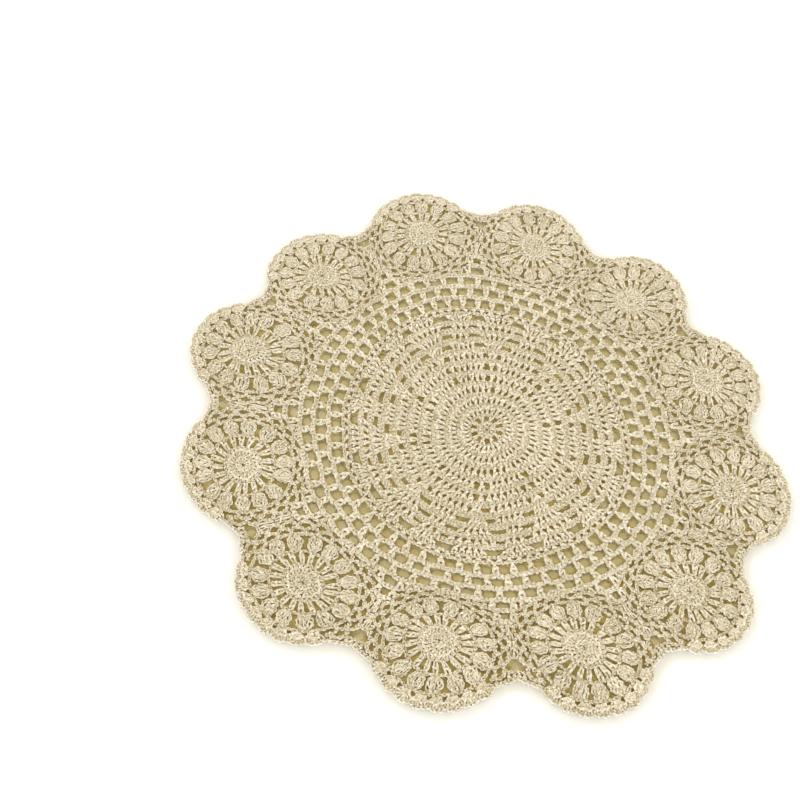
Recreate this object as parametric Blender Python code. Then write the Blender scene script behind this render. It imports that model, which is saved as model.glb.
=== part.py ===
"""A round lace doily, crocheted in cotton thread and lying flat.

The doily is designed even, on rings round its centre: a ten-petalled rosette with a rim of
fans, rounds of open net, and a ring of twelve small round motifs whose free edges are
shells. The hand-made cloth lies a little unevenly, so every point of the even design is
then moved by a smooth shift that brings each motif to where it really lies.

Millimetres and degrees in the tables, metres in the mesh. +X is to the right, +Y away from
the viewer, +Z up, and the origin is under the middle of the cloth's box.
"""
from typing import NamedTuple

import bpy
import numpy as np
from mathutils import Vector
from mathutils.geometry import delaunay_2d_cdt

MM = 0.001

# Driving sizes of the even design
RING_RADIUS = 118.0  # from the middle of the rosette to the middle of a motif
MOTIFS = 12
FIRST_MOTIF_DEG = 13.7
MOTIF_STEP_DEG = 360.0 / MOTIFS

# Free edge of a motif
RIM_RADIUS = 30.5  # where a motif meets the net and its neighbours
EDGE_RADIUS = 28.6  # at the dip between two shells
SHELL_HEIGHT = 1.2
SHELL_SHOULDER = 0.28  # share of a shell's width from its dip to its top
SHELLS = 8
FREE_DEG = 60.0  # the edge is free this far to each side of the motif's outward line
JOIN_RADIUS = 130.5  # neighbours are joined up to here, from the middle of the rosette

# Counts of the repeats
PETALS = 10
FANS = 2 * PETALS
PUFFS = 16
NET_COUNT = 60
HALF_STEP_DEG = 180.0 / NET_COUNT
FIRST_NET_DEG = FIRST_MOTIF_DEG - 0.5
FIRST_GAP_DEG = FIRST_MOTIF_DEG + MOTIF_STEP_DEG / 2
FIRST_FAN_HOLE_DEG = -1.5
FIRST_FAN_DEG = FIRST_FAN_HOLE_DEG + 180.0 / FANS

# Low relief of the upper face: a rise fades over its spread, in and out from its radius
NET_HEIGHT = 1.9
ROSETTE_RADIUS = 71.0
FAN_RADIUS = 60.5
FAN_RISE = 0.4
FAN_SPREAD = 5.0
PUFF_RADIUS = 19.6
PUFF_RISE = 0.5
PUFF_SPREAD = 2.0

# The lay of the net is felt from the rosette to the motifs, most of all at the net. A power
# over 1 moves that most outwards.
NET_LAY_POWER = 1.4

# A hole's two sides that run round the doily are this share of its width
HOLE_SHOULDER = 0.55

# Look of the cotton
COTTON = (0.76, 0.68, 0.52, 1.0)
COTTON_ROUGHNESS = 0.95


class Lay(NamedTuple):
    """How the cloth lies off the even design along the line of one motif.

    The motif is turned and moved out, its free edge reaches further by edge_mm, and the net
    inside it is turned and moved out on its own.
    """

    turn_deg: float
    out_mm: float
    edge_mm: float
    net_turn_deg: float
    net_out_mm: float


# Counted round from FIRST_MOTIF_DEG
LAY = (
    Lay(1.7, -6.7, -4.5, 0.2, -2.5),
    Lay(2.8, -7.3, 1.0, 3.3, 1.2),
    Lay(1.8, 3.8, 0.0, 3.2, 1.0),
    Lay(-1.0, 13.3, 0.0, 1.0, 1.7),
    Lay(-4.2, 8.6, 0.0, -2.5, 1.1),
    Lay(-6.6, 6.9, 0.0, -3.9, -3.6),
    Lay(-3.8, -3.3, -1.5, -1.6, -2.0),
    Lay(0.7, -3.2, -1.5, 0.2, -0.7),
    Lay(3.9, -8.2, 2.0, 0.3, 2.8),
    Lay(4.2, -1.7, 2.0, 0.5, 0.5),
    Lay(0.9, 0.8, -1.0, -0.4, 0.0),
    Lay(-0.4, -3.5, -3.0, -0.8, -1.1),
)


class HoleRound(NamedTuple):
    """A round of equal holes: width runs round the doily and depth outwards."""

    radius: float
    count: int
    first_deg: float
    width: float
    depth: float


HOLE_ROUNDS = (
    HoleRound(64.3, FANS, FIRST_FAN_HOLE_DEG, 5.4, 4.8),
    HoleRound(73.8, NET_COUNT, FIRST_NET_DEG, 5.2, 4.7),
    HoleRound(80.4, NET_COUNT, FIRST_NET_DEG + HALF_STEP_DEG, 5.8, 4.7),
    HoleRound(86.9, NET_COUNT, FIRST_NET_DEG, 6.4, 4.6),
    HoleRound(93.2, MOTIFS, FIRST_GAP_DEG, 6.2, 4.5),
    HoleRound(99.0, MOTIFS, FIRST_GAP_DEG, 5.2, 4.3),
    HoleRound(124.5, MOTIFS, FIRST_GAP_DEG, 4.8, 5.0),
)


class Step(NamedTuple):
    """One ring of a relief: its radius, its points and the height of the upper face."""

    radius: float
    points: int
    height: float


MOTIF_STEPS = (
    Step(0.0, 1, 2.3),
    Step(9.6, 12, 2.3),
    Step(12.8, PUFFS, 1.4),
    Step(PUFF_RADIUS, 2 * PUFFS, 2.5),
    Step(23.6, PUFFS, 1.9),
)
ROSETTE_STEPS = (
    Step(0.0, 1, 1.4),
    Step(8.0, PETALS, 2.0),
    Step(30.0, FANS, 2.2),
    Step(50.0, FANS, 2.0),
    Step(FAN_RADIUS, 2 * FANS, 2.4),
    Step(68.0, FANS, 1.9),
)


def polar(radius, turn_deg):
    """Points at a radius and a turn about the origin, one row each."""
    radius, turn = np.broadcast_arrays(radius, np.radians(turn_deg))
    return np.stack([radius * np.cos(turn), radius * np.sin(turn)], axis=-1)


def moved_out(points, radius, turn_deg):
    """Points set about a place on a ring, their first axis pointing outwards."""
    turn = np.radians(turn_deg)
    outward = np.array([np.cos(turn), np.sin(turn)])
    sideways = np.array([-np.sin(turn), np.cos(turn)])
    points = np.asarray(points, dtype=float)
    return (radius + points[:, :1]) * outward + points[:, 1:] * sideways


def round_curve(values, place):
    """A smooth closed curve through evenly spaced values, read at places counted in steps."""
    count = len(values)
    waves = np.fft.rfft(values) / count
    total = np.full(np.shape(place), waves[0].real)
    for order in range(1, len(waves)):
        share = 1.0 if 2 * order == count else 2.0
        total = total + share * (waves[order] * np.exp(2j * np.pi * order * place / count)).real
    return total


def laid(points):
    """Moves points of the even design to where the uneven cloth has them."""
    radius = np.hypot(points[:, 0], points[:, 1])
    turn_deg = np.degrees(np.arctan2(points[:, 1], points[:, 0]))
    place = (turn_deg - FIRST_MOTIF_DEG) / MOTIF_STEP_DEG
    near = np.clip(radius / RING_RADIUS, 0.0, 1.0)
    share, at_net = near ** 2, np.sin(np.pi * near ** NET_LAY_POWER)
    beyond = np.clip((radius - RING_RADIUS) / EDGE_RADIUS, 0.0, 1.0)
    turned = (share * round_curve([row.turn_deg for row in LAY], place)
              + at_net * round_curve([row.net_turn_deg for row in LAY], place))
    out = (share * round_curve([row.out_mm for row in LAY], place)
           + at_net * round_curve([row.net_out_mm for row in LAY], place))
    edge = beyond * round_curve([row.edge_mm for row in LAY], place)
    return polar(radius + out + edge, turn_deg + turned)


def edge_of_motif():
    """The shells along one motif's free edge and the join to the next motif."""
    step = 2 * FREE_DEG / SHELLS
    points = []
    for shell in range(SHELLS):
        start = -FREE_DEG + shell * step
        for along, rise in ((0.0, 0.0), (SHELL_SHOULDER, 1.0), (1.0 - SHELL_SHOULDER, 1.0)):
            points.append(polar(EDGE_RADIUS + rise * SHELL_HEIGHT, start + along * step))
    points.append(polar(EDGE_RADIUS, FREE_DEG))
    return np.array(points)


def outline():
    """The doily's edge, once round."""
    shells = edge_of_motif()
    parts = []
    for motif in range(MOTIFS):
        turn_deg = FIRST_MOTIF_DEG + motif * MOTIF_STEP_DEG
        parts.append(moved_out(shells, RING_RADIUS, turn_deg))
        parts.append(polar(JOIN_RADIUS, turn_deg + MOTIF_STEP_DEG / 2)[None, :])
    return np.concatenate(parts)


def holes():
    """The six-sided edge of every hole that is cut through."""
    edges = []
    for row in HOLE_ROUNDS:
        half, deep = row.width / 2, row.depth / 2
        shoulder = half * HOLE_SHOULDER
        shape = [(0.0, -half), (deep, -shoulder), (deep, shoulder),
                 (0.0, half), (-deep, shoulder), (-deep, -shoulder)]
        for number in range(row.count):
            turn_deg = row.first_deg + number * 360.0 / row.count
            edges.append(moved_out(shape, row.radius, turn_deg))
    return edges


def ring_points(steps, first_deg):
    """The points of a relief's rings about its own middle."""
    rings = [polar(np.full(step.points, step.radius),
                   first_deg + np.arange(step.points) * 360.0 / step.points)
             for step in steps]
    return np.concatenate(rings)


def relief_points():
    """The points inside the upper face that carry its low relief."""
    parts = [ring_points(ROSETTE_STEPS, FIRST_FAN_DEG)]
    for motif in range(MOTIFS):
        turn_deg = FIRST_MOTIF_DEG + motif * MOTIF_STEP_DEG
        parts.append(moved_out(ring_points(MOTIF_STEPS, 0.0), RING_RADIUS, turn_deg))
    return np.concatenate(parts)


def stepped(radius, steps, rim, rim_height):
    """Height on a relief at a radius, falling to the net at its rim."""
    radii = [step.radius for step in steps] + [rim]
    heights = [step.height for step in steps] + [rim_height]
    return np.interp(radius, radii, heights)


def bumps(points, first_deg, count, radius, spread):
    """A ring of bumps about the origin, from 1 on a bump to -1 between two, fading off it."""
    turn_deg = np.degrees(np.arctan2(points[:, 1], points[:, 0])) - first_deg
    off_ring = (np.hypot(points[:, 0], points[:, 1]) - radius) / spread
    return np.cos(np.radians(turn_deg * count)) * np.exp(-off_ring ** 2)


def upper_height(points):
    """Height of the upper face over points of the even design."""
    radius = np.hypot(points[:, 0], points[:, 1])
    height = stepped(radius, ROSETTE_STEPS, ROSETTE_RADIUS, NET_HEIGHT)
    height += FAN_RISE * bumps(points, FIRST_FAN_DEG, FANS, FAN_RADIUS, FAN_SPREAD)
    for motif in range(MOTIFS):
        turn_deg = FIRST_MOTIF_DEG + motif * MOTIF_STEP_DEG
        away = points - polar(RING_RADIUS, turn_deg)
        distance = np.hypot(away[:, 0], away[:, 1])
        own = stepped(distance, MOTIF_STEPS, RIM_RADIUS, NET_HEIGHT)
        own += PUFF_RISE * bumps(away, turn_deg, PUFFS, PUFF_RADIUS, PUFF_SPREAD)
        height = np.where(distance < RIM_RADIUS, own, height)
    return height


def face_triangles(loops, inner):
    """Triangles of a flat region inside the first loop and outside the others.

    The first loop runs anticlockwise and the others clockwise.
    """
    points = np.concatenate([*loops, inner])
    starts = np.cumsum([0] + [len(loop) for loop in loops])
    rims = [list(range(start, start + len(loop))) for start, loop in zip(starts, loops)]
    rims[1:] = [rim[::-1] for rim in rims[1:]]
    result = delaunay_2d_cdt([Vector(point) for point in points], [], rims, 1, 1e-7, True)
    corners, faces, from_points, from_faces = result[0], result[2], result[3], result[5]
    if len(corners) != len(points):
        raise ValueError("two edges of the cloth meet")
    back = [sources[0] for sources in from_points]
    return [[back[corner] for corner in face]
            for face, sources in zip(faces, from_faces) if list(sources) == [0]]


def wall_faces(loops, below):
    """The upright faces along every loop, down to points that lie below by that count."""
    faces, start = [], 0
    for loop in loops:
        for place in range(len(loop)):
            here, there = start + place, start + (place + 1) % len(loop)
            faces.append([here, here + below, there + below, there])
        start += len(loop)
    return faces


def cloth_mesh(name):
    """The whole cloth as one closed mesh, flat below and in low relief above."""
    even_loops = [outline(), *[edge[::-1] for edge in holes()]]
    even_inner = relief_points()
    loops = [laid(loop) for loop in even_loops]
    middle = (loops[0].min(axis=0) + loops[0].max(axis=0)) / 2
    loops = [loop - middle for loop in loops]
    inner = laid(even_inner) - middle

    heights = upper_height(np.concatenate([*even_loops, even_inner]))
    top = np.column_stack([np.concatenate([*loops, inner]), heights])
    rim = np.concatenate(loops)
    bottom = np.column_stack([rim, np.zeros(len(rim))])

    below = len(top)
    upper = face_triangles(loops, inner)
    lower = face_triangles(loops, np.empty((0, 2)))
    under = [[corner + below for corner in face[::-1]] for face in lower]
    mesh = bpy.data.meshes.new(name)
    points = (np.concatenate([top, bottom]) * MM).tolist()
    mesh.from_pydata(points, [], upper + under + wall_faces(loops, below))
    return mesh


def cotton():
    """Matte natural cotton."""
    material = bpy.data.materials.new("cotton")
    material.use_nodes = True
    shader = material.node_tree.nodes["Principled BSDF"]
    shader.inputs["Base Color"].default_value = COTTON
    shader.inputs["Roughness"].default_value = COTTON_ROUGHNESS
    shader.inputs["Metallic"].default_value = 0.0
    return material


def main():
    """Empties the scene and builds the doily."""
    for thing in list(bpy.data.objects):
        bpy.data.objects.remove(thing)
    mesh = cloth_mesh("lace_doily")
    mesh.materials.append(cotton())
    mesh.shade_smooth()
    mesh.set_sharp_from_angle(angle=np.radians(40.0))
    doily = bpy.data.objects.new("lace_doily", mesh)
    bpy.context.scene.collection.objects.link(doily)


main()
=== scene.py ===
"""A round lace doily, crocheted in cotton thread: its threads, cloth and cotton finish.

The doily is worked in rounds of an even design: a ten-petalled rosette with a rim of fans,
rounds of open net, and twelve small round motifs whose free edges are shells. Every point
of that design is moved by one smooth shift to where the uneven cloth really has it. Each
stitch is made of its threads: posts of two turned plies with a yarn wrapped over them,
chains of two crossing plies, and puffs of fat loops. A thin dark sheet lies among the
threads and carries them; its dark khaki colour is painted shade, seen in the gaps between
stitches and round the edges of the holes. The threads' own colour is also darkened, as
painted shade, where they lie low and in the creases between nubs.

Lengths are in millimetres and turns in degrees until a mesh is made, in metres.
"""

import logging
import math
from dataclasses import dataclass, field
from enum import Enum
from typing import Any, Mapping, NamedTuple, Sequence

import bpy
import numpy as np
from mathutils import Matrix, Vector
from mathutils.geometry import delaunay_2d_cdt

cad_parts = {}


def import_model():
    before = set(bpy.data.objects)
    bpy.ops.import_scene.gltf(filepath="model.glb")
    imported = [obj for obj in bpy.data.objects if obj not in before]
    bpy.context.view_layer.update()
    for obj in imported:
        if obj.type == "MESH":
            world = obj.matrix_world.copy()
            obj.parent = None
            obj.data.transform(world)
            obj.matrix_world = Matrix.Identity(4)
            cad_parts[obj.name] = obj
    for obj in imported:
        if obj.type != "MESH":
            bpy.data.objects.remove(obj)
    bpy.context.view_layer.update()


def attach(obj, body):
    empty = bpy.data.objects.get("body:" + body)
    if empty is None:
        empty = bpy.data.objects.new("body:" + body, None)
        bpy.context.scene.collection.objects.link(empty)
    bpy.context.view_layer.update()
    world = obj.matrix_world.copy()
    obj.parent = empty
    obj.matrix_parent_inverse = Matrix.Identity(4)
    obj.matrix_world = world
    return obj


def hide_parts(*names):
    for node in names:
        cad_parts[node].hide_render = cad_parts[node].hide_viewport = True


MM = 0.001
FULL_TURN = 360.0
LOG = logging.getLogger("lace_doily")


class Body(Enum):
    """The part's bodies."""

    ROOT = "root"


class Slot(Enum):
    """The record's material slots."""

    COTTON = "cotton"


class Lay(NamedTuple):
    """How the cloth lies off the even design along the line of one motif.

    The motif is turned and moved out, its free edge reaches further by edge_mm, and the net
    inside it is turned and moved out on its own.
    """

    turn_deg: float
    out_mm: float
    edge_mm: float
    net_turn_deg: float
    net_out_mm: float


class HoleRound(NamedTuple):
    """A round of equal holes: width runs round the doily and depth outwards."""

    radius: float
    count: int
    first_deg: float
    width: float
    depth: float


class TrebleRound(NamedTuple):
    """One round of the petals: stitches of a petal and of the fan that fills its gap.

    The spreads are half angles, from the middle of the group to its outermost stitch.
    """

    inner: float
    outer: float
    line_deg: float
    petal: int
    petal_foot: float
    petal_head: float
    fan: int
    fan_foot: float
    fan_head: float


class Ripple(NamedTuple):
    """One slow wave of the cloth's unevenness: its push in millimetres and its length."""

    push: float
    length: float
    heading_deg: float
    phase_deg: float


def polar(radius: Any, turn_deg: Any) -> np.ndarray:
    """Sets out points by radius and turn.

    Args:
        radius: One radius or an array of them.
        turn_deg: One turn or an array of them, in degrees.

    Returns:
        The points, with x and y in the last axis.
    """
    radius, turn = np.broadcast_arrays(radius, np.radians(turn_deg))
    return np.stack([radius * np.cos(turn), radius * np.sin(turn)], axis=-1)


def round_curve(values: Sequence[float], place: np.ndarray) -> np.ndarray:
    """Draws a smooth closed curve through evenly spaced values.

    Args:
        values: The values, once round.
        place: Where to read the curve, counted in steps from the first value.

    Returns:
        The curve's value at each place.
    """
    count = len(values)
    waves = np.fft.rfft(values) / count
    total = np.full(np.shape(place), waves[0].real)
    for order in range(1, len(waves)):
        share = 1.0 if 2 * order == count else 2.0
        turned = waves[order] * np.exp(2j * np.pi * order * place / count)
        total = total + share * turned.real
    return total


@dataclass(frozen=True)
class Design:
    """The even design and the lay of the real cloth."""

    ring_radius: float = 118.0
    motifs: int = 12
    first_motif_deg: float = 13.7
    edge_radius: float = 28.6
    shell_height: float = 1.2
    shell_shoulder: float = 0.28
    shells: int = 8
    free_deg: float = 60.0
    join_radius: float = 130.5
    hole_shoulder: float = 0.55
    net_lay_power: float = 1.4
    lays: tuple[Lay, ...] = (
        Lay(1.7, -6.7, -4.5, 0.2, -2.5),
        Lay(2.8, -7.3, 1.0, 3.3, 1.2),
        Lay(1.8, 3.8, 0.0, 3.2, 1.0),
        Lay(-1.0, 13.3, 0.0, 1.0, 1.7),
        Lay(-4.2, 8.6, 0.0, -2.5, 1.1),
        Lay(-6.6, 6.9, 0.0, -3.9, -3.6),
        Lay(-3.8, -3.3, -1.5, -1.6, -2.0),
        Lay(0.7, -3.2, -1.5, 0.2, -0.7),
        Lay(3.9, -8.2, 2.0, 0.3, 2.8),
        Lay(4.2, -1.7, 2.0, 0.5, 0.5),
        Lay(0.9, 0.8, -1.0, -0.4, 0.0),
        Lay(-0.4, -3.5, -3.0, -0.8, -1.1),
    )
    ripples: tuple[Ripple, ...] = (
        Ripple(0.30, 61.0, 17.0, 40.0),
        Ripple(0.26, 43.0, 101.0, 200.0),
        Ripple(0.22, 29.0, 143.0, 310.0),
        Ripple(0.18, 21.0, 62.0, 95.0),
    )

    @property
    def motif_step_deg(self) -> float:
        """The turn from one motif to the next."""
        return FULL_TURN / self.motifs

    def motif_turn(self, motif: int) -> float:
        """The even turn of a motif's middle, in degrees."""
        return self.first_motif_deg + motif * self.motif_step_deg

    def on_ring(self, points: np.ndarray, turn_deg: float, radius: float | None = None) -> np.ndarray:
        """Sets points about a place on a ring, their first axis pointing outwards.

        Args:
            points: Points about the origin, x and y in the last axis.
            turn_deg: The turn of the place.
            radius: The ring's radius, or None for the ring of the motifs.

        Returns:
            The points in the even design.
        """
        reach = self.ring_radius if radius is None else radius
        outward = polar(1.0, turn_deg)
        sideways = polar(1.0, turn_deg + 90.0)
        return (reach + points[..., :1]) * outward + points[..., 1:2] * sideways

    def laid(self, points: np.ndarray) -> np.ndarray:
        """Moves points of the even design to where the uneven cloth has them."""
        radius = np.hypot(points[..., 0], points[..., 1])
        turn_deg = np.degrees(np.arctan2(points[..., 1], points[..., 0]))
        place = (turn_deg - self.first_motif_deg) / self.motif_step_deg
        near = np.clip(radius / self.ring_radius, 0.0, 1.0)
        share, at_net = near ** 2, np.sin(np.pi * near ** self.net_lay_power)
        beyond = np.clip((radius - self.ring_radius) / self.edge_radius, 0.0, 1.0)
        turned = (share * round_curve([row.turn_deg for row in self.lays], place)
                  + at_net * round_curve([row.net_turn_deg for row in self.lays], place))
        out = (share * round_curve([row.out_mm for row in self.lays], place)
               + at_net * round_curve([row.net_out_mm for row in self.lays], place))
        edge = beyond * round_curve([row.edge_mm for row in self.lays], place)
        return polar(radius + out + edge, turn_deg + turned)

    def shell_edge(self, inset: float = 0.0) -> np.ndarray:
        """The shells along one motif's free edge, about the motif's middle."""
        step = 2 * self.free_deg / self.shells
        points = []
        for shell in range(self.shells):
            start = -self.free_deg + shell * step
            for along, rise in ((0.0, 0.0), (self.shell_shoulder, 1.0),
                                (1.0 - self.shell_shoulder, 1.0)):
                reach = self.edge_radius - inset + rise * self.shell_height
                points.append(polar(reach, start + along * step))
        points.append(polar(self.edge_radius - inset, self.free_deg))
        return np.array(points)

    def join_point(self, turn_deg: float, inset: float = 0.0) -> np.ndarray:
        """The dip of the outer edge between two motifs."""
        return polar(self.join_radius - inset, turn_deg)[None, :]

    def outline(self, inset: float = 0.0) -> np.ndarray:
        """The doily's outer edge, once round, in the even design."""
        shells = self.shell_edge(inset)
        parts = []
        for motif in range(self.motifs):
            turn_deg = self.motif_turn(motif)
            parts.append(self.on_ring(shells, turn_deg))
            parts.append(self.join_point(turn_deg + self.motif_step_deg / 2, inset))
        return np.concatenate(parts)

    def middle(self) -> np.ndarray:
        """The middle of the laid outline's box, which is the part's origin."""
        edge = self.laid(self.outline())
        return (edge.min(axis=0) + edge.max(axis=0)) / 2

    def placed(self, points: np.ndarray) -> np.ndarray:
        """Moves points of the even design to their place in the part, unevenness included."""
        where = self.laid(points)
        push = np.zeros_like(where)
        for ripple in self.ripples:
            along = where @ polar(1.0, ripple.heading_deg)
            phase = np.radians(ripple.phase_deg) + 2 * np.pi * along / ripple.length
            push = push + ripple.push * np.sin(phase)[..., None] * polar(
                1.0, ripple.heading_deg + 90.0)
        return where + push - self.middle()


@dataclass
class Skein:
    """Threads that are gathered into one mesh."""

    design: Design
    name: str
    swell: float = 0.20
    sides: int = 4
    seed: int = 3
    groups: list[tuple[np.ndarray, float, bool]] = field(default_factory=list)
    rng: np.random.Generator = field(init=False)

    def __post_init__(self) -> None:
        """Starts the yarn's own unevenness from the seed."""
        self.rng = np.random.default_rng(self.seed)

    def add(self, paths: np.ndarray, radius: float, closed: bool = False) -> None:
        """Takes in threads of the even design.

        Args:
            paths: Threads by points by x, y and height.
            radius: The thread's radius.
            closed: Whether each thread joins its own start.
        """
        spots = np.concatenate([self.design.placed(paths[..., :2]), paths[..., 2:]], axis=-1)
        self.groups.append((spots, radius, closed))

    def _rings(self, spots: np.ndarray, radius: float, closed: bool) -> np.ndarray:
        """The section's points round each point of each thread."""
        if closed:
            ahead = np.roll(spots, -1, axis=1) - np.roll(spots, 1, axis=1)
        else:
            ahead = np.gradient(spots, axis=1)
        ahead /= np.linalg.norm(ahead, axis=-1, keepdims=True) + 1e-12
        side = np.stack([-ahead[..., 1], ahead[..., 0], np.zeros(ahead.shape[:-1])], axis=-1)
        side /= np.linalg.norm(side, axis=-1, keepdims=True) + 1e-12
        up = np.cross(ahead, side)
        turn = 2 * np.pi * (np.arange(self.sides) + 0.5) / self.sides
        spokes = (np.cos(turn)[:, None] * side[..., None, :]
                  + np.sin(turn)[:, None] * up[..., None, :])
        fat = radius * (1.0 + self.swell * self.rng.uniform(-1.0, 1.0, spots.shape[:2]))
        return spots[..., None, :] + fat[..., None, None] * spokes

    @staticmethod
    def _lengths(spots: np.ndarray, closed: bool) -> np.ndarray:
        """How far along its thread each point lies, with the closing step last."""
        steps = np.linalg.norm(np.diff(spots, axis=1), axis=-1)
        if closed:
            last = np.linalg.norm(spots[:, :1] - spots[:, -1:], axis=-1)
            steps = np.concatenate([steps, last], axis=1)
        return np.concatenate([np.zeros((len(spots), 1)), np.cumsum(steps, axis=1)], axis=1)

    def mesh(self, ply_pitch: float) -> bpy.types.Mesh:
        """Makes the mesh of all its threads, with a map of the ply's turn along each.

        Args:
            ply_pitch: The length of thread in which its plies turn once.

        Returns:
            The mesh, in metres.
        """
        corners, quads, quad_map, caps = [], [], [], []
        first, sides = 0, self.sides
        for spots, radius, closed in self.groups:
            threads, count = spots.shape[:2]
            corners.append(self._rings(spots, radius, closed).reshape(-1, 3))
            spans = count if closed else count - 1
            thread, span, side = np.meshgrid(
                np.arange(threads), np.arange(spans), np.arange(sides), indexing="ij")
            here = thread * count * sides + span * sides + side
            turned = thread * count * sides + span * sides + (side + 1) % sides
            onward = (span + 1) % count
            there = thread * count * sides + onward * sides + side
            there_turned = thread * count * sides + onward * sides + (side + 1) % sides
            quads.append(first + np.stack(
                [here, turned, there_turned, there], axis=-1).reshape(-1, 4))
            along = self._lengths(spots, closed) / ply_pitch
            low, high = along[thread, span], along[thread, span + 1]
            around, onto = side / sides, (side + 1) / sides
            quad_map.append(np.stack([
                np.stack([low, around], -1), np.stack([low, onto], -1),
                np.stack([high, onto], -1), np.stack([high, around], -1)],
                axis=-2).reshape(-1, 4, 2))
            if not closed:
                ring = np.arange(sides)
                starts = (np.arange(threads) * count * sides)[:, None]
                ends = starts + (count - 1) * sides
                caps.append(first + starts + ring[::-1])
                caps.append(first + ends + ring)
            first += threads * count * sides
        return self._fill(corners, quads, quad_map, caps)

    def _fill(self, corners: list, quads: list, quad_map: list, caps: list) -> bpy.types.Mesh:
        """Writes the gathered corners and faces into a mesh."""
        points = np.concatenate(corners) * MM
        sheets = np.concatenate(quads)
        loops = [sheets.ravel()]
        totals = [np.full(len(sheets), 4)]
        maps = [np.concatenate(quad_map).reshape(-1, 2)]
        for cap in caps:
            loops.append(cap.ravel())
            totals.append(np.full(len(cap), self.sides))
            maps.append(np.zeros((cap.size, 2)))
        corner_of = np.concatenate(loops)
        total = np.concatenate(totals)
        mesh = bpy.data.meshes.new(self.name)
        mesh.vertices.add(len(points))
        mesh.vertices.foreach_set("co", points.ravel())
        mesh.loops.add(len(corner_of))
        mesh.loops.foreach_set("vertex_index", corner_of)
        mesh.polygons.add(len(total))
        mesh.polygons.foreach_set("loop_start", np.concatenate([[0], np.cumsum(total)[:-1]]))
        mesh.polygons.foreach_set("use_smooth", np.ones(len(total), dtype=bool))
        mesh.update(calc_edges=True)
        layer = mesh.uv_layers.new(name="ply_turn")
        layer.uv.foreach_set("vector", np.concatenate(maps).astype(np.float32).ravel())
        mesh.validate()
        return mesh


def resampled(path: np.ndarray, count: int, closed: bool) -> np.ndarray:
    """Sets points evenly along a path.

    Args:
        path: The path's own points.
        count: How many points to set.
        closed: Whether the path joins its own start.

    Returns:
        The even points.
    """
    whole = np.concatenate([path, path[:1]]) if closed else path
    steps = np.linalg.norm(np.diff(whole, axis=0), axis=1)
    reach = np.concatenate([[0.0], np.cumsum(steps)])
    place = np.linspace(0.0, reach[-1], count, endpoint=not closed)
    return np.stack([np.interp(place, reach, whole[:, axis]) for axis in (0, 1)], axis=-1)


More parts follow.
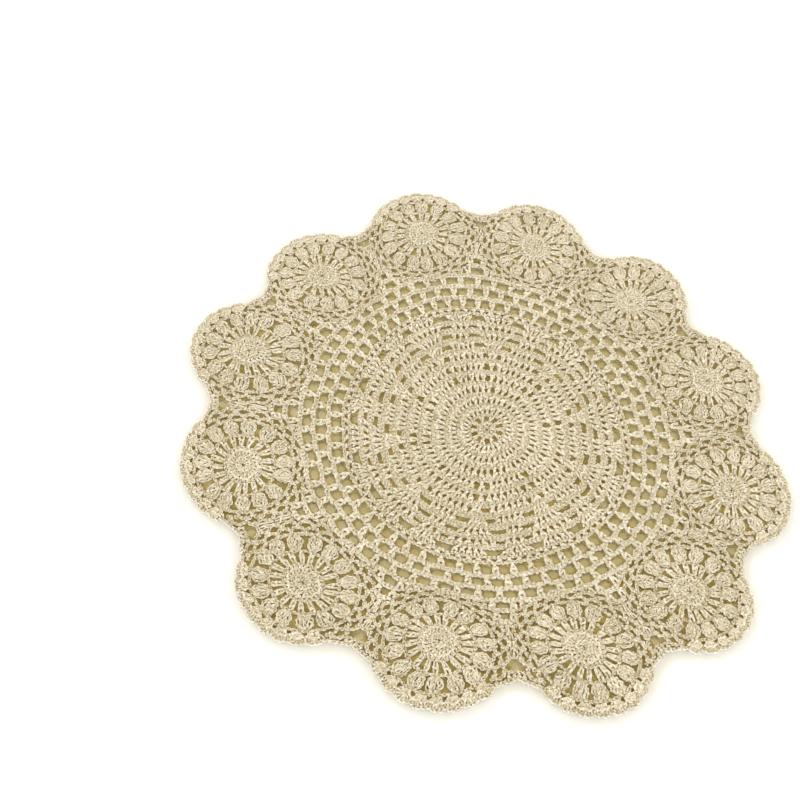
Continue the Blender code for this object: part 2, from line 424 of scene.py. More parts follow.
@dataclass
class Hook:
    """Works stitches into a skein, each out of its own threads."""

    skein: Skein
    thread_radius: float = 0.56
    yarn_radius: float = 0.504
    post_half_width: float = 0.45
    post_flare: float = 0.40
    post_half_depth: float = 0.26
    post_height: float = 1.5
    phase_spread: float = 0.45
    wrap_start: tuple[float, float] = (0.38, 0.56)
    wrap_length: float = 0.28
    wrap_reach: float = 0.35
    wrap_lift: float = 0.15
    wrap_crest: float = 0.2
    chain_half_width: float = 0.60
    chain_half_depth: float = 0.28
    chain_height: float = 1.5
    chain_period: float = 3.9
    period_points: int = 6
    chain_wobble: float = 0.12
    plies: int = 2
    puff_loops: int = 8
    puff_radius: float = 0.54
    puff_stray: float = 0.27
    knot_half_width: float = 0.42
    knot_lift: float = 0.35
    knot_crest: float = 0.18
    wobble: float = 0.12
    seed: int = 7
    rng: np.random.Generator = field(init=False)

    def __post_init__(self) -> None:
        """Starts the hand's unevenness from the seed."""
        self.rng = np.random.default_rng(self.seed)

    @staticmethod
    def strip(centres: np.ndarray, across: np.ndarray, heights: np.ndarray,
              closed: bool = False) -> np.ndarray:
        """Sets threads beside centre lines.

        Args:
            centres: Lines by points by x and y.
            across: How far to the left of its line each point lies.
            heights: The height of each point.
            closed: Whether each line joins its own start.

        Returns:
            Threads by points by x, y and height.
        """
        if closed:
            ahead = np.roll(centres, -1, axis=1) - np.roll(centres, 1, axis=1)
        else:
            ahead = np.gradient(centres, axis=1)
        ahead = ahead / (np.linalg.norm(ahead, axis=-1, keepdims=True) + 1e-12)
        left = np.stack([-ahead[..., 1], ahead[..., 0]], axis=-1)
        flat = centres + left * np.broadcast_to(across, centres.shape[:-1])[..., None]
        high = np.broadcast_to(heights, centres.shape[:-1])[..., None]
        return np.concatenate([flat, high], axis=-1)

    def posts(self, feet: np.ndarray, heads: np.ndarray, width: float = 1.0,
              lift: float = 0.0, depth: float = 1.0, turns: float = 0.5,
              pinch: float = 0.25) -> None:
        """Works treble posts: two turned plies that open at the head and a yarn over them.

        Args:
            feet: The foot of each post.
            heads: The head of each post.
            width: The share of a whole post's width.
            lift: How much higher than usual the posts lie.
            depth: The share of a whole post's depth.
            turns: How often the two plies turn about each other.
            pinch: How far along a post its plies cross, below 0 for nowhere.
        """
        count = len(feet)
        feet = feet + self.rng.normal(0.0, self.wobble, feet.shape)
        heads = heads + self.rng.normal(0.0, self.wobble, heads.shape)
        along = np.linspace(0.0, 1.0, 7)
        centres = feet[:, None, :] + along[None, :, None] * (heads - feet)[:, None, :]
        start = np.pi / 2 - 2 * np.pi * turns * pinch
        start = start + self.phase_spread * self.rng.uniform(-1.0, 1.0, (count, 1))
        turn = start + 2 * np.pi * turns * along[None, :]
        height = self.post_height + lift
        reach = width * (self.post_half_width + self.post_flare * along ** 1.5)
        for half in (0.0, np.pi):
            across = reach * np.cos(turn + half)
            rise = height + depth * self.post_half_depth * np.sin(turn + half)
            self.skein.add(self.strip(centres, across, rise), width * self.thread_radius)
        part = np.linspace(0.0, 1.0, 5)
        lower = self.rng.uniform(*self.wrap_start, (count, 1))
        place = lower + self.wrap_length * part[None, :]
        centres = feet[:, None, :] + place[..., None] * (heads - feet)[:, None, :]
        hand = self.rng.choice((-1.0, 1.0), (count, 1))
        reach = width * (self.post_half_width + self.wrap_reach)
        crest = depth * (self.post_half_depth + self.wrap_crest)
        across = hand * reach * np.cos(np.pi * part)[None, :]
        rise = height + self.wrap_lift + crest * np.sin(np.pi * part)[None, :]
        self.skein.add(self.strip(centres, across, rise), width * self.yarn_radius)

    def chain(self, line: np.ndarray, closed: bool = False, lift: float = 0.0,
              width: float = 1.0) -> None:
        """Works a plaited chain along a line.

        Args:
            line: The points of the line.
            closed: Whether the line joins its own start.
            lift: How much higher than usual the chain lies.
            width: The share of a whole chain's width.
        """
        whole = np.concatenate([line, line[:1]]) if closed else line
        length = np.linalg.norm(np.diff(whole, axis=0), axis=1).sum()
        periods = length / self.chain_period
        if closed:
            periods = max(round(periods), 1)
        count = max(int(round(periods * self.period_points)), 4) + (0 if closed else 1)
        centres = resampled(line, count, closed)[None]
        part = np.arange(count) / (count if closed else count - 1)
        start = self.rng.uniform(0.0, 2 * np.pi)
        for ply in range(self.plies):
            turn = start + 2 * np.pi * (periods * part + ply / self.plies)
            stray = self.rng.normal(0.0, self.chain_wobble, (2, count))
            across = width * self.chain_half_width * np.sin(turn) + stray[0]
            rise = self.chain_height + lift + self.chain_half_depth * np.sin(2 * turn) + stray[1]
            self.skein.add(self.strip(centres, across[None], rise[None], closed),
                           width * self.thread_radius, closed)

    def puffs(self, turns: np.ndarray, inner: float, outer: float, about: "Motif",
              spread: float, bulge: float) -> None:
        """Works puffs: fat loops side by side, drawn together at both ends.

        Args:
            turns: The turn of each puff's middle about the motif's own middle.
            inner: The radius of the feet.
            outer: The radius of the heads.
            about: The motif that they belong to.
            spread: How far the outermost loop lies from the puff's middle line.
            bulge: How much the loops swell upwards.
        """
        along = np.linspace(0.0, 1.0, 11)
        radius = inner + (outer - inner) * along
        opening = (0.42 + 0.58 * np.sin(np.pi * along) ** 0.6) * (0.84 + 0.26 * along)
        for loop in np.linspace(-1.0, 1.0, self.puff_loops):
            stray = self.rng.normal(0.0, self.puff_stray, (2, len(turns), len(along)))
            lean = np.degrees((spread * loop * opening + stray[0]) / radius)
            flat = about.about(polar(radius, turns[:, None] + lean))
            swell = bulge * (1.0 - 0.6 * loop ** 2) * np.sin(np.pi * along)
            rise = self.post_height - 0.05 + swell + 0.6 * stray[1]
            self.skein.add(np.concatenate([flat, rise[..., None]], axis=-1), self.puff_radius)

    def knots(self, spots: np.ndarray, out_deg: np.ndarray, reach: float = 0.95,
              lift: float = 0.0) -> None:
        """Works small knots: a ring of thread over a chain.

        Args:
            spots: The middle of each knot.
            out_deg: The direction that each knot runs in.
            reach: Half of a knot's length.
            lift: How much higher than usual the knots lie.
        """
        turn = 2 * np.pi * np.arange(8) / 8
        ahead = polar(1.0, out_deg)
        left = polar(1.0, np.asarray(out_deg) + 90.0)
        flat = (spots[:, None, :] + reach * np.cos(turn)[None, :, None] * ahead[:, None, :]
                + self.knot_half_width * np.sin(turn)[None, :, None] * left[:, None, :])
        height = self.chain_height + lift + self.knot_lift
        rise = np.broadcast_to(height + self.knot_crest * np.cos(2 * turn), flat.shape[:-1])
        self.skein.add(np.concatenate([flat, rise[..., None]], axis=-1), self.yarn_radius,
                       closed=True)


@dataclass
class Piece:
    """What every piece of the doily shares: its design, name and skein."""

    design: Design
    name: str
    seed: int

    def hook(self, **sizes: float) -> Hook:
        """A hook with a new skein of the piece's name."""
        return Hook(Skein(self.design, self.name), seed=self.seed, **sizes)

    def finish(self, mesh: bpy.types.Mesh, cloth: "Finish") -> bpy.types.Object:
        """Dresses a mesh and lets it ride on the doily's body.

        Args:
            mesh: The piece's mesh.
            cloth: The finish that it takes.

        Returns:
            The piece.
        """
        mesh.materials.append(cloth.material())
        piece = bpy.data.objects.new(self.name, mesh)
        bpy.context.scene.collection.objects.link(piece)
        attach(piece, Body.ROOT.value)
        mesh.calc_loop_triangles()
        LOG.info("%s: %d triangles", self.name, len(mesh.loop_triangles))
        return piece


def ring(radius: float, step_deg: float = 3.0, waves: int = 0, wave: float = 0.0,
         first_deg: float = 0.0) -> np.ndarray:
    """Sets out a closed ring, plain or with waves.

    Args:
        radius: The ring's radius.
        step_deg: The turn from point to point.
        waves: How many waves run round it.
        wave: How far a wave stands out.
        first_deg: The turn at which a wave is at its top.

    Returns:
        The ring's points.
    """
    turn = np.arange(0.0, FULL_TURN, step_deg)
    return polar(radius + wave * np.cos(np.radians(waves * (turn - first_deg))), turn)


@dataclass
class Rosette(Piece):
    """The middle of the doily: whole rounds, then petals with fans in their gaps."""

    petals: int = 10
    stray: float = 0.35
    fullness: float = 1.05
    looseness: float = 0.035
    waves: int = 70
    wave: float = 0.15
    crown: tuple[float, float] = (-0.75, 0.4)
    close_radius: float = 60.0
    centre_radius: float = 1.5
    whole_rounds: tuple[tuple[float, float, int, float, int], ...] = (
        (2.2, 3.6, 10, 0.75, 1), (4.6, 8.2, 10, 0.92, 1), (9.2, 14.4, 29, 1.24, 2),
        (15.2, 20.5, 41, 1.32, 2))
    post_width: float = 1.28
    rounds: tuple[TrebleRound, ...] = (
        TrebleRound(21.1, 27.0, 7.0, 5, 14.2, 13.9, 0, 0.0, 0.0),
        TrebleRound(27.6, 33.5, 10.6, 5, 10.4, 9.6, 1, 0.0, 0.0),
        TrebleRound(34.1, 39.7, 10.2, 6, 10.8, 11.0, 1, 0.0, 0.0),
        TrebleRound(40.3, 45.7, 9.8, 6, 9.6, 9.2, 2, 1.1, 1.5),
    )

    def work(self, hook: Hook) -> None:
        """Works the rounds and the chains on their heads."""
        hook.chain(ring(self.centre_radius, 20.0), closed=True, width=0.8)
        for inner, outer, count, width, chains in self.whole_rounds:
            turns = np.arange(count) * FULL_TURN / count
            hook.posts(polar(inner, turns), polar(outer, turns), width=width)
            for shift in self.crown[-chains:]:
                hook.chain(ring(outer + shift), closed=True, width=0.85)
        self.work_rounds(hook, self.rounds)

    def work_rounds(self, hook: Hook, rounds: Sequence[TrebleRound]) -> None:
        """Works rounds of petals and fans."""
        step = FULL_TURN / self.petals
        for row in rounds:
            for middle, count, foot, head in (
                    (row.line_deg + step / 2, row.petal, row.petal_foot, row.petal_head),
                    (row.line_deg, row.fan, row.fan_foot, row.fan_head)):
                if not count:
                    continue
                part = np.linspace(-1.0, 1.0, count) if count > 1 else np.zeros(1)
                shift = np.degrees(hook.rng.normal(0.0, self.stray, (self.petals, 1)) / row.inner)
                turns = (middle + step * np.arange(self.petals))[:, None] + shift
                loose = hook.rng.normal(self.fullness, self.looseness, (2, self.petals, 1))
                hook.posts(polar(row.inner, turns + foot * loose[0] * part).reshape(-1, 2),
                           polar(row.outer, turns + head * loose[1] * part).reshape(-1, 2),
                           width=self.post_width)
            close = row.inner < self.close_radius
            for shift in self.crown if close else self.crown[-1:]:
                hook.chain(ring(row.outer + shift, 1.5, self.waves, self.wave), closed=True,
                           width=0.9)
            if row.fan_head and close:
                self.work_loops(hook, row)

    def work_loops(self, hook: Hook, row: TrebleRound) -> None:
        """Works the loops of chain at the feet of the gaps between petals and fans."""
        step = FULL_TURN / self.petals
        part = np.linspace(0.0, 1.0, 5)
        for petal in range(self.petals):
            for side in (-1.0, 1.0):
                start = row.line_deg + side * row.fan_foot
                end = row.line_deg + side * (step / 2 - row.petal_foot)
                turns = start + part * (end - start) + petal * step
                hook.chain(polar(row.inner + 0.75, turns), width=0.8, lift=-0.1)


@dataclass
class FanRim(Rosette):
    """The outer rounds of the rosette, where petals and gaps both open into fans."""

    fullness: float = 0.97
    post_width: float = 1.14
    rounds: tuple[TrebleRound, ...] = (
        TrebleRound(46.3, 51.6, 9.3, 5, 6.6, 6.0, 4, 2.6, 4.0),
        TrebleRound(52.2, 57.2, 9.0, 3, 3.4, 2.8, 5, 5.0, 7.3),
        TrebleRound(57.8, 62.2, 8.2, 3, 2.6, 3.8, 6, 7.4, 9.2),
        TrebleRound(62.8, 67.2, 7.5, 5, 3.0, 5.7, 5, 4.2, 5.7),
    )
    rim_radius: float = 70.4
    rim_posts: int = 100
    rim_post: tuple[float, float] = (67.9, 70.1)

    def work(self, hook: Hook) -> None:
        """Works the fans and the double chain of their rim."""
        self.work_rounds(hook, self.rounds)
        turns = np.arange(self.rim_posts) * FULL_TURN / self.rim_posts
        foot, head = self.rim_post
        hook.posts(polar(foot, turns), polar(head, turns), width=1.1, lift=-0.15)
        hook.chain(ring(self.rim_radius, 1.5), closed=True, width=0.9)


@dataclass
class Net(Piece):
    """The open net between the rosette and the motifs."""

    count: int = 60
    turn_deg: float = -0.5
    radii: tuple[float, ...] = (73.8, 80.4, 86.9)
    gap_rows: tuple[tuple[float, float], ...] = ((93.2, 2.8), (99.0, 2.0))
    foot: float = 3.3
    head: float = 2.4
    bar: float = 3.2
    arch: float = 0.5
    stray: float = 0.3
    gap_chains: tuple[tuple[tuple[float, float], ...], ...] = (
        ((96.2, 2.8), (95.0, 4.3), (92.8, 5.9)),
        ((90.6, 4.6), (91.6, 6.2), (91.4, 8.0)),
        ((103.4, 0.0), (104.6, 0.8), (105.0, 1.7)),
        ((121.0, 0.0), (121.1, 0.9), (121.5, 1.8)),
        ((127.2, 0.0), (127.3, 1.2), (127.8, 2.5)),
    )
    gap_posts: tuple[tuple[float, float, float, float], ...] = (
        (90.6, 4.6, 94.6, 4.9),
        (89.6, 7.4, 92.2, 7.0),
        (104.6, 0.25, 112.0, 0.3),
        (113.0, 0.3, 120.6, 0.35),
        (127.6, 0.5, 129.8, 0.4),
        (127.8, 1.5, 130.2, 1.3),
    )

    def work(self, hook: Hook) -> None:
        """Works posts between the holes and a chain over each hole."""
        step = FULL_TURN / self.count
        half = step / 2
        first = self.design.first_motif_deg + self.turn_deg
        for number, radius in enumerate(self.radii):
            holes = first + (half if number % 2 else 0.0) + step * np.arange(self.count)
            self.row(hook, radius, holes - half, holes, half)
        for motif in range(self.design.motifs):
            turn = self.design.motif_turn(motif) + self.design.motif_step_deg / 2
            for radius, reach in self.gap_rows:
                self.row(hook, radius, turn + reach * np.array([-1.0, 1.0]),
                         np.array([turn]), reach)
            self.work_gap(hook, turn)

    def work_gap(self, hook: Hook, turn_deg: float) -> None:
        """Works the odd stitches that fill the wedge between two motifs."""
        for side in (-1.0, 1.0):
            for line in self.gap_chains:
                points = np.array([polar(radius, turn_deg + side * off) for radius, off in line])
                hook.chain(points, width=0.85, lift=-0.1)
            feet = np.array([polar(post[0], turn_deg + side * post[1]) for post in self.gap_posts])
            heads = np.array([polar(post[2], turn_deg + side * post[3]) for post in self.gap_posts])
            hook.posts(feet, heads, width=0.9, lift=-0.1)

    def row(self, hook: Hook, radius: float, posts: np.ndarray, holes: np.ndarray,
            half: float) -> None:
        """Works one row of posts and the chain over each of its holes.

        Args:
            hook: The hook that works it.
            radius: The radius of the holes' middles.
            posts: The turn of each post.
            holes: The turn of each hole's middle.
            half: The turn from a hole's middle to its posts.
        """
        lean = np.degrees(hook.rng.normal(0.0, self.stray, (2, len(posts))) / radius)
        hook.posts(polar(radius - self.foot, posts + lean[0]),
                   polar(radius + self.head, posts + lean[1]), width=1.4, lift=-0.05, depth=0.7)
        part = np.linspace(-1.0, 1.0, 9)
        rise = self.arch * (1.0 - 2.0 * np.abs(part) ** 3.0)
        for hole in holes:
            sag = hook.rng.normal(0.0, self.stray) * (1.0 - np.abs(part) ** 3.0)
            line = polar(radius + self.bar + rise + sag, hole + half * part)
            hook.chain(line, width=1.3)
        ends = holes - half
        hook.knots(polar(radius + self.head + 0.1, ends), ends + 90.0, reach=1.25, lift=-0.1)


@dataclass
class Motif(Piece):
    """One small round motif: disc, spokes, ring of puffs, chain arches and shells."""

    number: int = 0
    disc_rounds: tuple[tuple[float, float, int, float], ...] = (
        (1.7, 4.3, 12, 0.92), (4.8, 8.2, 22, 1.08))
    disc_radius: float = 8.9
    spokes: int = 19
    spoke_radius: float = 14.9
    puffs: int = 15
    puff_foot: float = 15.6
    puff_head: float = 22.4
    puff_spread: float = 3.12
    puff_bulge: float = 0.5
    puff_ring: float = 23.1
    arches: int = 24
    shell_stitches: int = 6

    def about(self, points: np.ndarray) -> np.ndarray:
        """Moves points from about the motif's middle to the even design."""
        return self.design.on_ring(points, self.design.motif_turn(self.number))

    def work(self, hook: Hook) -> None:
        """Works the motif from its middle outwards."""
        self.work_disc(hook)
        self.work_spokes(hook)
        self.work_arches(hook)
        self.work_shells(hook)

    def work_disc(self, hook: Hook) -> None:
        """Works the small ring, the close disc and its chain."""
        hook.chain(self.about(ring(1.3, 24.0)), closed=True, width=0.75)
        for inner, outer, count, width in self.disc_rounds:
            turns = hook.rng.uniform(0.0, 30.0) + np.arange(count) * FULL_TURN / count
            hook.posts(self.about(polar(inner, turns)), self.about(polar(outer, turns)),
                       width=width, depth=0.6)
            hook.chain(self.about(ring(outer + 0.4, 9.0)), closed=True, width=0.8)

    def work_spokes(self, hook: Hook) -> None:
        """Works the spokes and the puffs that stand on their ring."""
        swirl = hook.rng.uniform(-4.0, 6.0)
        step = FULL_TURN / self.spokes
        turns = step * np.arange(self.spokes) + hook.rng.uniform(0.0, step)
        turns = turns + hook.rng.normal(0.0, 1.5, self.spokes)
        hook.posts(self.about(polar(self.disc_radius + 0.3, turns)),
                   self.about(polar(self.spoke_radius - 0.4, turns + swirl)), width=1.18,
                   lift=-0.1, turns=0.25, pinch=-0.6)
        hook.chain(self.about(ring(self.spoke_radius)), closed=True, lift=-0.1, width=0.85)
        step = FULL_TURN / self.puffs
        stand = step * np.arange(self.puffs) + hook.rng.uniform(0.0, step)
        stand = stand + hook.rng.normal(0.0, 1.2, self.puffs)
        hook.puffs(stand, self.puff_foot, self.puff_head, self, self.puff_spread, self.puff_bulge)
        hook.chain(self.about(ring(self.puff_ring)), closed=True, width=0.9)

    def work_arches(self, hook: Hook) -> None:
        """Works the flat chain arches on the side of the net and the neighbours."""
        free = self.design.free_deg + 3.0
        turns = np.arange(free, FULL_TURN - free + 0.1, 1.5)
        half = FULL_TURN / self.arches / 2
        for low, high, shift in ((24.4, 26.4, 0.0), (26.9, 29.2, half)):
            part = np.abs(np.sin(np.radians((turns - shift) * self.arches / 2))) ** 0.7
            hook.chain(self.about(polar(low + (high - low) * part, turns)), width=0.9)
            knots = np.arange(0.0, FULL_TURN, 2 * half) + shift
            knots = knots[(knots > free) & (knots < FULL_TURN - free)]
            middle = self.design.motif_turn(self.number)
            hook.knots(self.about(polar(low - 0.5, knots)), knots + middle, lift=0.05)

    def work_shells(self, hook: Hook) -> None:
        """Works the shells of the free edge and the chain round them."""
        design = self.design
        step = 2 * design.free_deg / design.shells
        part = np.linspace(-1.0, 1.0, self.shell_stitches)
        middles = (-design.free_deg + step * (np.arange(design.shells) + 0.5))[:, None]
        feet = polar(24.0, middles + 0.22 * step * part).reshape(-1, 2)
        reach = design.edge_radius - 0.9 + 0.8 * (1.0 - part ** 4)
        heads = polar(reach, middles + 0.43 * step * part).reshape(-1, 2)
        hook.posts(self.about(feet), self.about(heads), lift=0.1)
        turn = design.motif_turn(self.number)
        half = design.motif_step_deg / 2
        line = np.concatenate([
            design.join_point(turn - half, 0.9),
            self.about(design.shell_edge(0.85)),
            design.join_point(turn + half, 0.9)])
        hook.chain(line, lift=0.05)


@dataclass
class Ground(Piece):
    """A thin dark sheet among the threads, with the holes of the design cut out; its dark colour is
    painted shade, seen in the gaps between stitches and round the holes.
    """

    inset: float = 0.95
    low: float = 0.5
    high: float = 1.0
    # Below 0, each hole is cut smaller than the design's hole, so a dark ledge of painted shade shows
    # round its edge.
    spare: float = -0.9
    rounds: tuple[HoleRound, ...] = (
        HoleRound(64.3, 20, -1.5, 5.4, 4.8),
        HoleRound(73.8, 60, 13.2, 5.2, 4.7),
        HoleRound(80.4, 60, 16.2, 5.8, 4.7),
        HoleRound(86.9, 60, 13.2, 6.4, 4.6),
        HoleRound(93.2, 12, 28.7, 6.2, 4.5),
        HoleRound(99.0, 12, 28.7, 5.2, 4.3),
        HoleRound(124.5, 12, 28.7, 4.8, 5.0),
    )

    def holes(self) -> list[np.ndarray]:
        """The edge of every hole, in the even design."""
        edges = []
        for row in self.rounds:
            half, deep = (row.width + self.spare) / 2, (row.depth + self.spare) / 2
            shoulder = half * self.design.hole_shoulder
            shape = np.array([(0.0, -half), (deep, -shoulder), (deep, shoulder),
                              (0.0, half), (-deep, shoulder), (-deep, -shoulder)])
            for number in range(row.count):
                turn_deg = row.first_deg + number * FULL_TURN / row.count
                edges.append(self.design.on_ring(shape, turn_deg, row.radius))
        return edges

    def mesh(self) -> bpy.types.Mesh:
        """Makes the ground as one closed mesh.

        Returns:
            The mesh, in metres.
        """
        loops = [self.design.placed(edge) for edge in (self.design.outline(self.inset),
                                                       *self.holes())]
        points = np.concatenate(loops)
        starts = np.cumsum([0] + [len(loop) for loop in loops])
        rims = [list(range(start, start + len(loop))) for start, loop in zip(starts, loops)]
        result = delaunay_2d_cdt([Vector(point) for point in points], [], rims, 1, 1e-7, True)
        if len(result[0]) != len(points):
            raise ValueError("two edges of the ground meet")
        back = [sources[0] for sources in result[3]]
        upper = [[back[corner] for corner in face]
                 for face, sources in zip(result[2], result[5]) if list(sources) == [0]]
        below = len(points)
        under = [[corner + below for corner in face[::-1]] for face in upper]
        walls = []
        for number, rim in enumerate(rims):
            for here, there in zip(rim, rim[1:] + rim[:1]):
                if number:
                    here, there = there, here
                walls.append([here, here + below, there + below, there])
        corners = np.concatenate([
            np.column_stack([points, np.full(below, self.high)]),
            np.column_stack([points, np.full(below, self.low)])])
        mesh = bpy.data.meshes.new(self.name)
        mesh.from_pydata((corners * MM).tolist(), [], upper + under + walls)
        return mesh


class Signal:
    """A shader socket that can be reckoned with: each sum adds a Math node."""

    def __init__(self, bench: "Bench", socket: bpy.types.NodeSocket) -> None:
        """Keeps the bench that the socket's node stands on."""
        self.bench = bench
        self.socket = socket

    def __add__(self, other: "Signal | float") -> "Signal":
        """Adds."""
        return self.bench.reckon("ADD", self, other)

    __radd__ = __add__

    def __mul__(self, other: "Signal | float") -> "Signal":
        """Multiplies."""
        return self.bench.reckon("MULTIPLY", self, other)

    __rmul__ = __mul__

    def __sub__(self, other: "Signal | float") -> "Signal":
        """Takes the other away."""
        return self.bench.reckon("SUBTRACT", self, other)

    def __rsub__(self, other: float) -> "Signal":
        """Is taken away from a number."""
        return self.bench.reckon("SUBTRACT", other, self)

    def sine(self) -> "Signal":
        """The sine of the value, in radians."""
        return self.bench.reckon("SINE", self)


class Bench:
    """A node tree, on which a finish or a light is set out."""

    def __init__(self, tree: bpy.types.NodeTree) -> None:
        """Keeps the tree."""
        self.tree = tree

    def node(self, kind: str, settings: Mapping[str, Any] | None = None,
             inputs: Mapping[str | int, Any] | None = None) -> bpy.types.Node:
        """Adds a node.

        Args:
            kind: The node's type.
            settings: Its settings, set before its sockets.
            inputs: A value, or a signal to link, for each named or numbered socket.

        Returns:
            The node.
        """
        made = self.tree.nodes.new(kind)
        for name, value in (settings or {}).items():
            setattr(made, name, value)
        for name, value in (inputs or {}).items():
            self.feed(made.inputs[name], value)
        return made

    def feed(self, socket: bpy.types.NodeSocket, value: Any) -> None:
        """Links a signal to a socket, or sets the socket's own value."""
        if isinstance(value, Signal):
            self.tree.links.new(value.socket, socket)
        else:
            socket.default_value = value

    def reckon(self, operation: str, *values: "Signal | float") -> Signal:
        """Adds a Math node on values."""
        made = self.node("ShaderNodeMath", {"operation": operation}, dict(enumerate(values)))
        return Signal(self, made.outputs[0])

    def output(self, node: bpy.types.Node, name: str) -> Signal:
        """A node's output as a signal."""
        return Signal(self, node.outputs[name])

    def place(self) -> Signal:
        """Where a point lies on its object."""
        return self.output(self.node("ShaderNodeTexCoord"), "Object")

    def parts(self, vector: Signal) -> tuple[Signal, Signal, Signal]:
        """The three numbers of a vector."""
        made = self.node("ShaderNodeSeparateXYZ", None, {"Vector": vector})
        return tuple(self.output(made, axis) for axis in "XYZ")

    def noise(self, vector: Signal, scale: float, detail: float = 2.0) -> Signal:
        """Soft noise from 0 to 1 on a vector."""
        made = self.node("ShaderNodeTexNoise", {"noise_dimensions": "3D"},
                         {"Vector": vector, "Scale": scale, "Detail": detail})
        return self.output(made, "Fac")

    def cells(self, vector: Signal, scale: float) -> Signal:
        """The distance from the middle of the nearest of many scattered cells."""
        made = self.node("ShaderNodeTexVoronoi", {"feature": "F1"},
                         {"Vector": vector, "Scale": scale})
        return self.output(made, "Distance")

    def ramp(self, value: Signal, low: float, high: float) -> Signal:
        """A value as its share of the way from low to high, kept from 0 to 1."""
        made = self.node("ShaderNodeMapRange", {"clamp": True, "interpolation_type": "SMOOTHSTEP"},
                         {"Value": value, "From Min": low, "From Max": high})
        return self.output(made, "Result")

    def blend(self, share: "Signal | float", first: Any, second: Any) -> Signal:
        """A colour between two colours."""
        made = self.node("ShaderNodeMix", {"data_type": "RGBA"}, {0: share})
        self.feed(made.inputs[6], first)
        self.feed(made.inputs[7], second)
        return Signal(self, made.outputs[2])

    def bump(self, height: Signal, distance: float, strength: float) -> Signal:
        """A normal that a height has changed."""
        made = self.node("ShaderNodeBump", None,
                         {"Height": height, "Distance": distance, "Strength": strength})
        return self.output(made, "Normal")


@dataclass(frozen=True)
class Finish:
    """A matte cotton finish with painted shade: its colour darkens towards the deep colour where it
    lies low among the threads and in the creases between nubs.
    """

    name: str
    light: tuple[float, float, float, float]
    # deep is the colour of painted shade where the surface lies at or below low (mm); light is its
    # colour at high and above.
    deep: tuple[float, float, float, float]
    low: float
    high: float
    patches: float = 0.04
    patch_scale: float = 45.0
    roughness: float = 0.95
    sheen: float = 0.05
    specular: float = 0.2
    plies: float = 2.0
    ply_depth: float = 0.00007
    fibre_depth: float = 0.00004
    nub_scale: float = 820.0
    nub_depth: float = 0.00020
    nub_span: tuple[float, float] = (0.34, 0.72)
    # How much the creases between nubs darken the colour, as painted shade.
    crease: float = 0.44
    fibre_scale: float = 2600.0
    fuzz: float = 0.4
    worn_span: tuple[float, float] = (0.42, 0.66)
    worn_share: float = 0.6
    bump: float = 0.8
    sheen_roughness: float = 0.6

    def material(self) -> bpy.types.Material:
        """The finish's material, made once."""
        known = bpy.data.materials.get(self.name)
        if known:
            return known
        material = bpy.data.materials.new(self.name)
        material.use_nodes = True
        bench = Bench(material.node_tree)
        shader = material.node_tree.nodes["Principled BSDF"]
        place = bench.place()
        height = bench.parts(place)[2]
        patch = bench.noise(place, self.patch_scale, 3.0)
        fibre = bench.noise(place, self.fibre_scale, 3.0)
        # Painted shade: the lower the surface lies among the threads, the nearer its colour comes to
        # the deep colour.
        share = bench.ramp(height + (fibre - 0.5) * (self.fuzz * MM), self.low * MM,
                           self.high * MM)
        # Painted shade in the creases: the edges of the cells darken the colour, and the same mask
        # also sinks the bump.
        crease = bench.ramp(bench.cells(place, self.nub_scale), *self.nub_span)
        tone = bench.blend(share * (1.0 - crease * self.crease), self.deep, self.light)
        washed = tuple(min(1.0, part * (1.0 + self.patches)) for part in self.light[:3]) + (1.0,)
        worn = bench.ramp(patch, *self.worn_span) * share * self.worn_share
        bench.feed(shader.inputs["Base Color"], bench.blend(worn, tone, washed))
        turn = bench.output(bench.node("ShaderNodeUVMap", {"uv_map": "ply_turn"}), "UV")
        along, around, _ = bench.parts(turn)
        twist = ((along + around * self.plies) * (2.0 * math.pi)).sine()
        relief = (twist * 0.5 + fibre * (self.fibre_depth / self.ply_depth)
                  - crease * (self.nub_depth / self.ply_depth))
        bench.feed(shader.inputs["Normal"], bench.bump(relief, self.ply_depth, self.bump))
        bench.feed(shader.inputs["Roughness"], self.roughness)
        bench.feed(shader.inputs["Specular IOR Level"], self.specular)
        bench.feed(shader.inputs["Sheen Weight"], self.sheen)
        bench.feed(shader.inputs["Sheen Roughness"], self.sheen_roughness)
        return material


@dataclass(frozen=True)
class FloorFinish:
    """The plain pale floor."""

    name: str = "pale_floor"
    colour: tuple[float, float, float, float] = (0.92, 0.92, 0.92, 1.0)
    roughness: float = 0.9

    def material(self) -> bpy.types.Material:
        """The floor's material."""
        material = bpy.data.materials.new(self.name)
        material.use_nodes = True
        shader = material.node_tree.nodes["Principled BSDF"]
        shader.inputs["Base Color"].default_value = self.colour
        shader.inputs["Roughness"].default_value = self.roughness
        return material


@dataclass(frozen=True)
class Lamp:
    """A lamp at a heading and height round the doily, aimed at its middle."""

    name: str
    heading_deg: float
    height_deg: float
    energy: float
    spread_deg: float
    colour: tuple[float, float, float] = (1.0, 0.985, 0.96)

    def hang(self) -> None:
        """Adds the lamp to the scene."""
        light = bpy.data.lights.new(self.name, "SUN")
        light.energy = self.energy
        light.angle = math.radians(self.spread_deg)
        light.color = self.colour
        lamp = bpy.data.objects.new(self.name, light)
        flat = math.cos(math.radians(self.height_deg))
        towards = Vector((flat * math.cos(math.radians(self.heading_deg)),
                          flat * math.sin(math.radians(self.heading_deg)),
                          math.sin(math.radians(self.height_deg))))
        lamp.rotation_euler = towards.to_track_quat("Z", "Y").to_euler()
        bpy.context.scene.collection.objects.link(lamp)


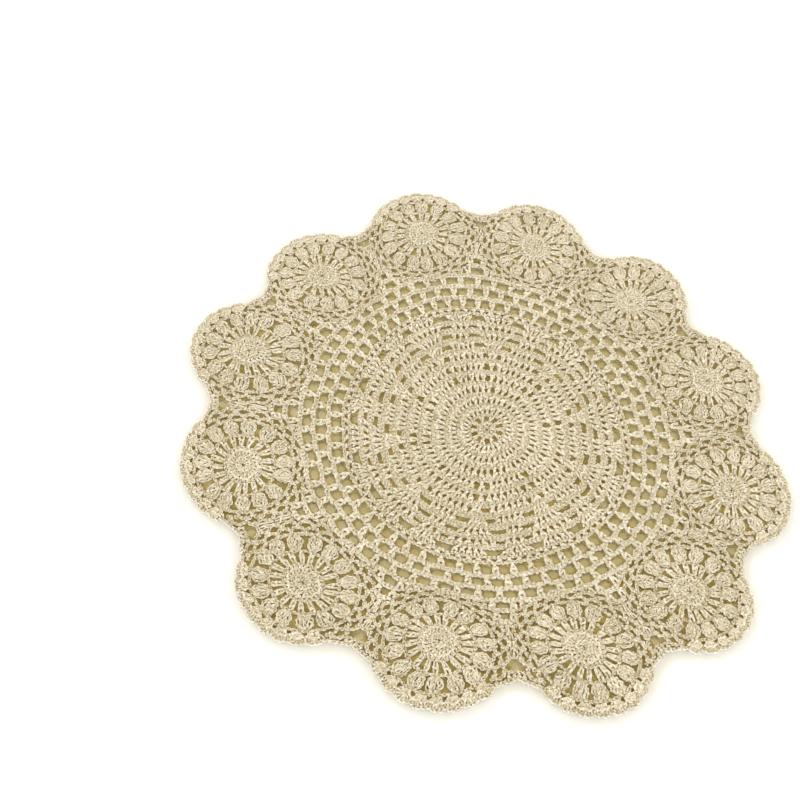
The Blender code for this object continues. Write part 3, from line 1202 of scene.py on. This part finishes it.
@dataclass(frozen=True)
class Studio:
    """The floor, the soft light and the camera."""

    design: Design
    half_floor: float = 3.0
    lens: float = 55.8
    sensor: float = 36.0
    stand: tuple[float, float, float] = (-40.6, -336.5, 475.2)
    aim: tuple[float, float, float] = (-40.6, 19.05, 0.0)
    panels: tuple[float, float, float, float] = (3.7, 4.3, 5.3, 1.0)
    ceiling: tuple[float, float, float, float] = (0.62, 0.45, 0.11, 1.0)
    ceiling_rise: tuple[float, float] = (0.38, 0.56)
    lamps: tuple[Lamp, ...] = (Lamp("key_light", 125.0, 26.0, 0.25, 20.0),)

    def lay_floor(self) -> None:
        """Lays the floor just under the doily."""
        half = self.half_floor
        mesh = bpy.data.meshes.new("floor")
        mesh.from_pydata([(-half, -half, 0.0), (half, -half, 0.0), (half, half, 0.0),
                          (-half, half, 0.0)], [], [(0, 1, 2, 3)])
        mesh.materials.append(FloorFinish().material())
        floor = bpy.data.objects.new("floor", mesh)
        bpy.context.scene.collection.objects.link(floor)

    def light(self) -> None:
        """Sets a low ring of soft panels under a dimmer ceiling and hangs the lamps."""
        world = bpy.data.worlds.new("studio")
        bpy.context.scene.world = world
        world.use_nodes = True
        bench = Bench(world.node_tree)
        way = bench.output(bench.node("ShaderNodeTexCoord"), "Generated")
        rise = bench.parts(way)[2]
        share = bench.ramp(rise, *self.ceiling_rise)
        background = world.node_tree.nodes["Background"]
        bench.feed(background.inputs["Color"], bench.blend(share, self.panels, self.ceiling))
        for lamp in self.lamps:
            lamp.hang()

    def set_camera(self) -> None:
        """Stands the camera where the doily fills the same part of the picture."""
        middle = Vector((*self.design.middle(), 0.0))
        stand = (Vector(self.stand) - middle) * MM
        aim = (Vector(self.aim) - middle) * MM
        camera = bpy.data.cameras.new("camera")
        camera.lens = self.lens
        camera.sensor_width = self.sensor
        camera.clip_start = 0.01
        holder = bpy.data.objects.new("camera", camera)
        holder.location = stand
        holder.rotation_euler = (aim - stand).to_track_quat("-Z", "Y").to_euler()
        bpy.context.scene.collection.objects.link(holder)
        bpy.context.scene.camera = holder


# The thread's own colour, then its deep colour, which is painted shade where the thread lies low.
THREAD = Finish("cotton_thread", (0.72, 0.63, 0.478, 1.0), (0.40, 0.33, 0.15, 1.0), 0.45, 1.25)
# The dark sheet's colours, both painted shade.
SHADE_SHEET = Finish("painted_shade_sheet", (0.37, 0.305, 0.13, 1.0), (0.32, 0.26, 0.10, 1.0), 0.3, 0.9,
              patches=0.7, patch_scale=260.0)
PLY_PITCH = 1.3
NODE = "lace_doily"


def main() -> None:
    """Builds the doily's pieces in order and reports each."""
    logging.basicConfig(level=logging.INFO, format="%(name)s: %(message)s")
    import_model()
    design = Design()

    threads: list[Piece] = [
        Rosette(design, "rosette_petals", 11),
        FanRim(design, "rosette_fans", 12),
        Net(design, "open_net", 13),
    ]
    threads += [Motif(design, f"motif_{number + 1:02d}", 20 + number, number=number)
                for number in range(design.motifs)]
    for piece in threads:
        hook = piece.hook()
        piece.work(hook)
        piece.finish(hook.skein.mesh(PLY_PITCH), THREAD)

    # The dark sheet of painted shade among the threads.
    ground = Ground(design, "dark_shade_sheet", 10)
    cloth = ground.finish(ground.mesh(), SHADE_SHEET)
    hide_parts(NODE)

    studio = Studio(design)
    studio.lay_floor()
    studio.light()
    studio.set_camera()
    bpy.context.scene.view_settings.view_transform = "Standard"


if __name__ == "__main__":
    main()
